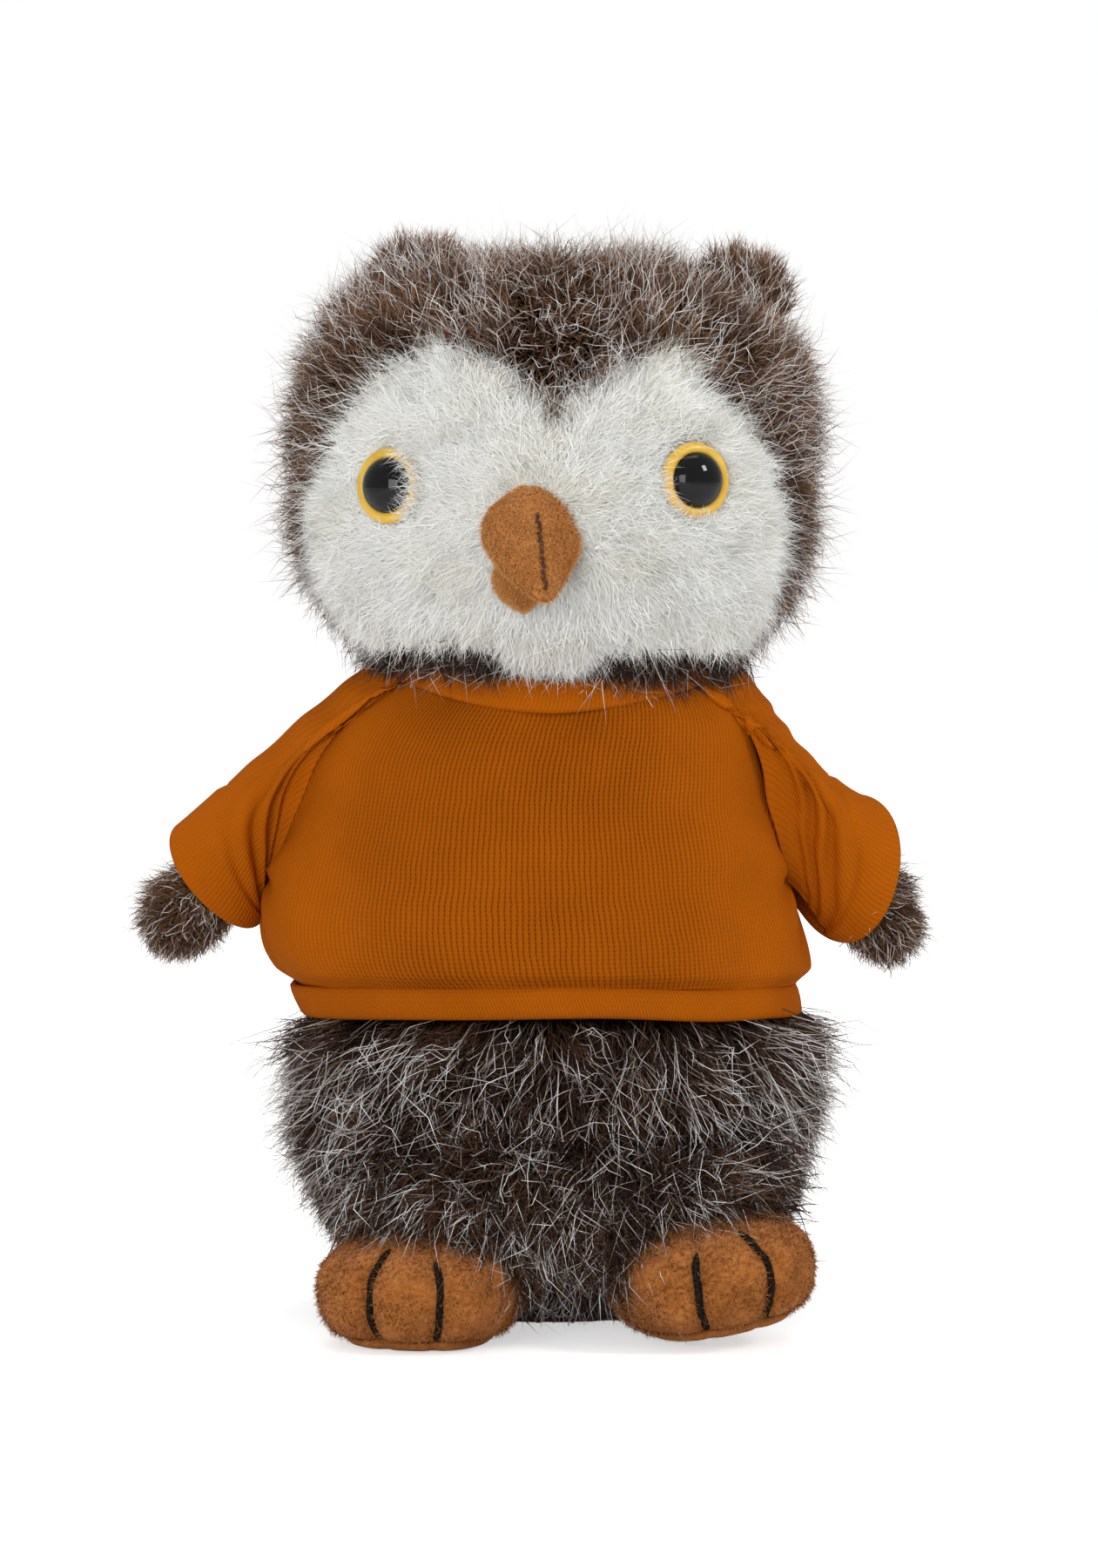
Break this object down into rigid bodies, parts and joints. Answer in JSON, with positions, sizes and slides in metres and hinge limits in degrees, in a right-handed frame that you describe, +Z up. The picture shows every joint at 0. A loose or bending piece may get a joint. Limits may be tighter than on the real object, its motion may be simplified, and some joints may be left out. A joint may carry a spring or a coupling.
{
  "type": "plush owl",
  "caption": "Soft stuffed owl with frosted brown fur, a white two-lobed face, glossy eyes, felt beak, fleece feet and a knitted orange shirt, standing on a flat weighted base.",
  "frame": {"origin": "centre of the flat base panel that the owl stands on", "axes": "+Z up through the head, -Y the way the face looks, +X to the right of someone facing the owl"},
  "size_m": [0.162, 0.1163, 0.2174],
  "materials": {
    "brown_fur": "long frosted pile",
    "white_fur": "short dense pile",
    "orange_jersey": "rib knit",
    "tan_felt": "fuzzy felt",
    "tan_fleece": "fleece",
    "black_yarn": "matt yarn",
    "brown_thread": "matt thread",
    "eye_yellow": "painted, clear gloss",
    "eye_black": "high gloss",
    "washer_white": "moulded",
    "fibre_fill": "loose fibre",
    "bag_cloth": "plain weave"
  },
  "bodies": {
    "torso": {"torso_skin": "brown_fur", "torso_stuffing": "fibre_fill", "pellet_bag": "bag_cloth", "base_panel": "brown_fur", "shirt_front": "orange_jersey", "shirt_back": "orange_jersey", "collar_rib": "orange_jersey", "hem_band": "orange_jersey"},
    "head": {"head_skin": "brown_fur", "face_disc": "white_fur", "head_stuffing": "fibre_fill", "upper_beak": "tan_felt", "lower_beak": "tan_felt", "beak_seam": "brown_thread", "left_ear": "brown_fur", "left_eye_plate": "eye_yellow", "left_eye_button": "eye_black", "left_eye_washer": "washer_white", "right_ear": "brown_fur", "right_eye_plate": "eye_yellow", "right_eye_button": "eye_black", "right_eye_washer": "washer_white"},
    "left_wing": {"left_wing_skin": "brown_fur", "left_wing_stuffing": "fibre_fill", "left_sleeve": "orange_jersey"},
    "right_wing": {"right_wing_skin": "brown_fur", "right_wing_stuffing": "fibre_fill", "right_sleeve": "orange_jersey"},
    "left_foot": {"left_foot_upper": "tan_fleece", "left_sole": "tan_fleece", "left_foot_stuffing": "fibre_fill", "left_toe_stitch_1": "black_yarn", "left_toe_stitch_2": "black_yarn"},
    "right_foot": {"right_foot_upper": "tan_fleece", "right_sole": "tan_fleece", "right_foot_stuffing": "fibre_fill", "right_toe_stitch_1": "black_yarn", "right_toe_stitch_2": "black_yarn"}
  },
  "joints": [
    {"name": "head_turn", "type": "hinge", "parent": "torso", "child": "head", "pos_m": [0, 0, 0.129], "axis": [0, 0, 1], "range_deg": [-30, 30], "stiffness_Nm_per_rad": 0.12},
    {"name": "left_wing_lift", "type": "hinge", "parent": "torso", "child": "left_wing", "pos_m": [-0.05626, 0.0015, 0.101], "axis": [0, 1, 0], "range_deg": [0, 65], "stiffness_Nm_per_rad": 0.04},
    {"name": "right_wing_lift", "type": "hinge", "parent": "torso", "child": "right_wing", "pos_m": [0.04626, 0.0015, 0.101], "axis": [0, -1, 0], "range_deg": [0, 65], "stiffness_Nm_per_rad": 0.04},
    {"name": "left_foot_tilt", "type": "hinge", "parent": "torso", "child": "left_foot", "pos_m": [-0.024, -0.037, 0.01125], "axis": [-0.9703, 0.2419, 0], "range_deg": [0, 15], "stiffness_Nm_per_rad": 0.06},
    {"name": "right_foot_tilt", "type": "hinge", "parent": "torso", "child": "right_foot", "pos_m": [0.0256, -0.037, 0.0143], "axis": [-0.9281, -0.3378, -0.1564], "range_deg": [0, 15], "stiffness_Nm_per_rad": 0.06}
  ]
}
